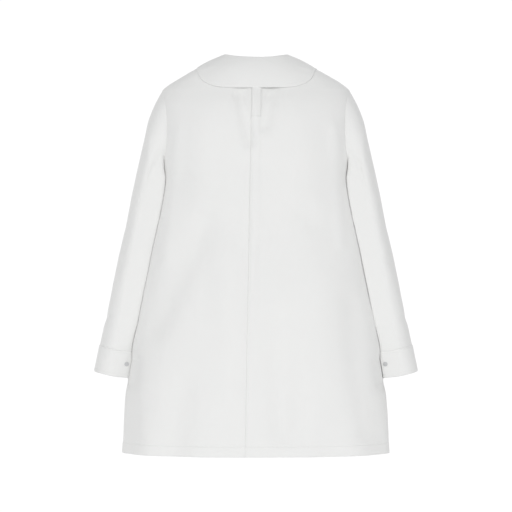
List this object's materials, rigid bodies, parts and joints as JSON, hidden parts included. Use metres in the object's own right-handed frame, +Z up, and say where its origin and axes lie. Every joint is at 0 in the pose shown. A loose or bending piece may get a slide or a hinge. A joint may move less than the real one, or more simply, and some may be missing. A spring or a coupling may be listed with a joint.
{
  "type": "lab coat",
  "caption": "Hip-length white laboratory coat with a turned-down collar, long cuffed sleeves, press-stud front, patch pockets and a back vent.",
  "frame": {"origin": "crown of the hanger loop inside the back neck, where the coat hangs from its peg", "axes": "+Z up, the front of the coat towards -Y, the wearer's left towards +X"},
  "size_m": [0.6972, 0.3068, 0.8531],
  "materials": {
    "coat_cloth": "matte woven polyester and cotton twill",
    "tape": "matte woven tape",
    "snap_metal": "satin nickel-plated press studs"
  },
  "bodies": {
    "torso": {"back_left_panel": "coat_cloth", "back_right_panel": "coat_cloth", "back_pleat_tab": "coat_cloth", "back_neck_facing": "coat_cloth", "neck_label": "tape", "hanger_loop": "tape", "collar_stand": "coat_cloth", "collar_fall": "coat_cloth", "lapel_left": "coat_cloth", "lapel_right": "coat_cloth", "front_left_side": "coat_cloth", "front_right_side": "coat_cloth", "front_left_chest": "coat_cloth", "front_right_chest": "coat_cloth"},
    "left_sleeve": {"sleeve_left_upper": "coat_cloth", "sleeve_left_under": "coat_cloth", "cuff_left": "coat_cloth", "cuff_stud_left": "snap_metal"},
    "right_sleeve": {"sleeve_right_upper": "coat_cloth", "sleeve_right_under": "coat_cloth", "cuff_right": "coat_cloth", "cuff_stud_right": "snap_metal"},
    "left_front": {"front_left_leaf": "coat_cloth", "front_left_facing": "coat_cloth", "chest_pocket": "coat_cloth", "lower_pocket_left": "coat_cloth", "stud_cap_1": "snap_metal", "stud_cap_2": "snap_metal", "stud_cap_3": "snap_metal", "stud_cap_4": "snap_metal"},
    "right_front": {"front_right_leaf": "coat_cloth", "front_right_facing": "coat_cloth", "lower_pocket_right": "coat_cloth", "stud_ball_1": "snap_metal", "stud_ball_2": "snap_metal", "stud_ball_3": "snap_metal", "stud_ball_4": "snap_metal"}
  },
  "joints": [
    {"name": "left_sleeve_raise", "type": "hinge", "parent": "torso", "child": "left_sleeve", "pos_m": [0.2012, -0.04428, -0.06], "axis": [0, -1, 0], "range_deg": [0, 60]},
    {"name": "right_sleeve_raise", "type": "hinge", "parent": "torso", "child": "right_sleeve", "pos_m": [-0.2012, -0.04428, -0.06], "axis": [0, 1, 0], "range_deg": [0, 60]},
    {"name": "left_front_open", "type": "hinge", "parent": "torso", "child": "left_front", "pos_m": [0.233, -0.15628, -0.838], "axis": [-0.0556, 0.054, 0.997], "range_deg": [0, 50]},
    {"name": "right_front_open", "type": "hinge", "parent": "torso", "child": "right_front", "pos_m": [-0.233, -0.15628, -0.838], "axis": [-0.0556, -0.054, -0.997], "range_deg": [0, 30]}
  ],
  "couplings": [
    {"joint": "right_front_open", "follows": "left_front_open", "ratio": 0.6}
  ]
}
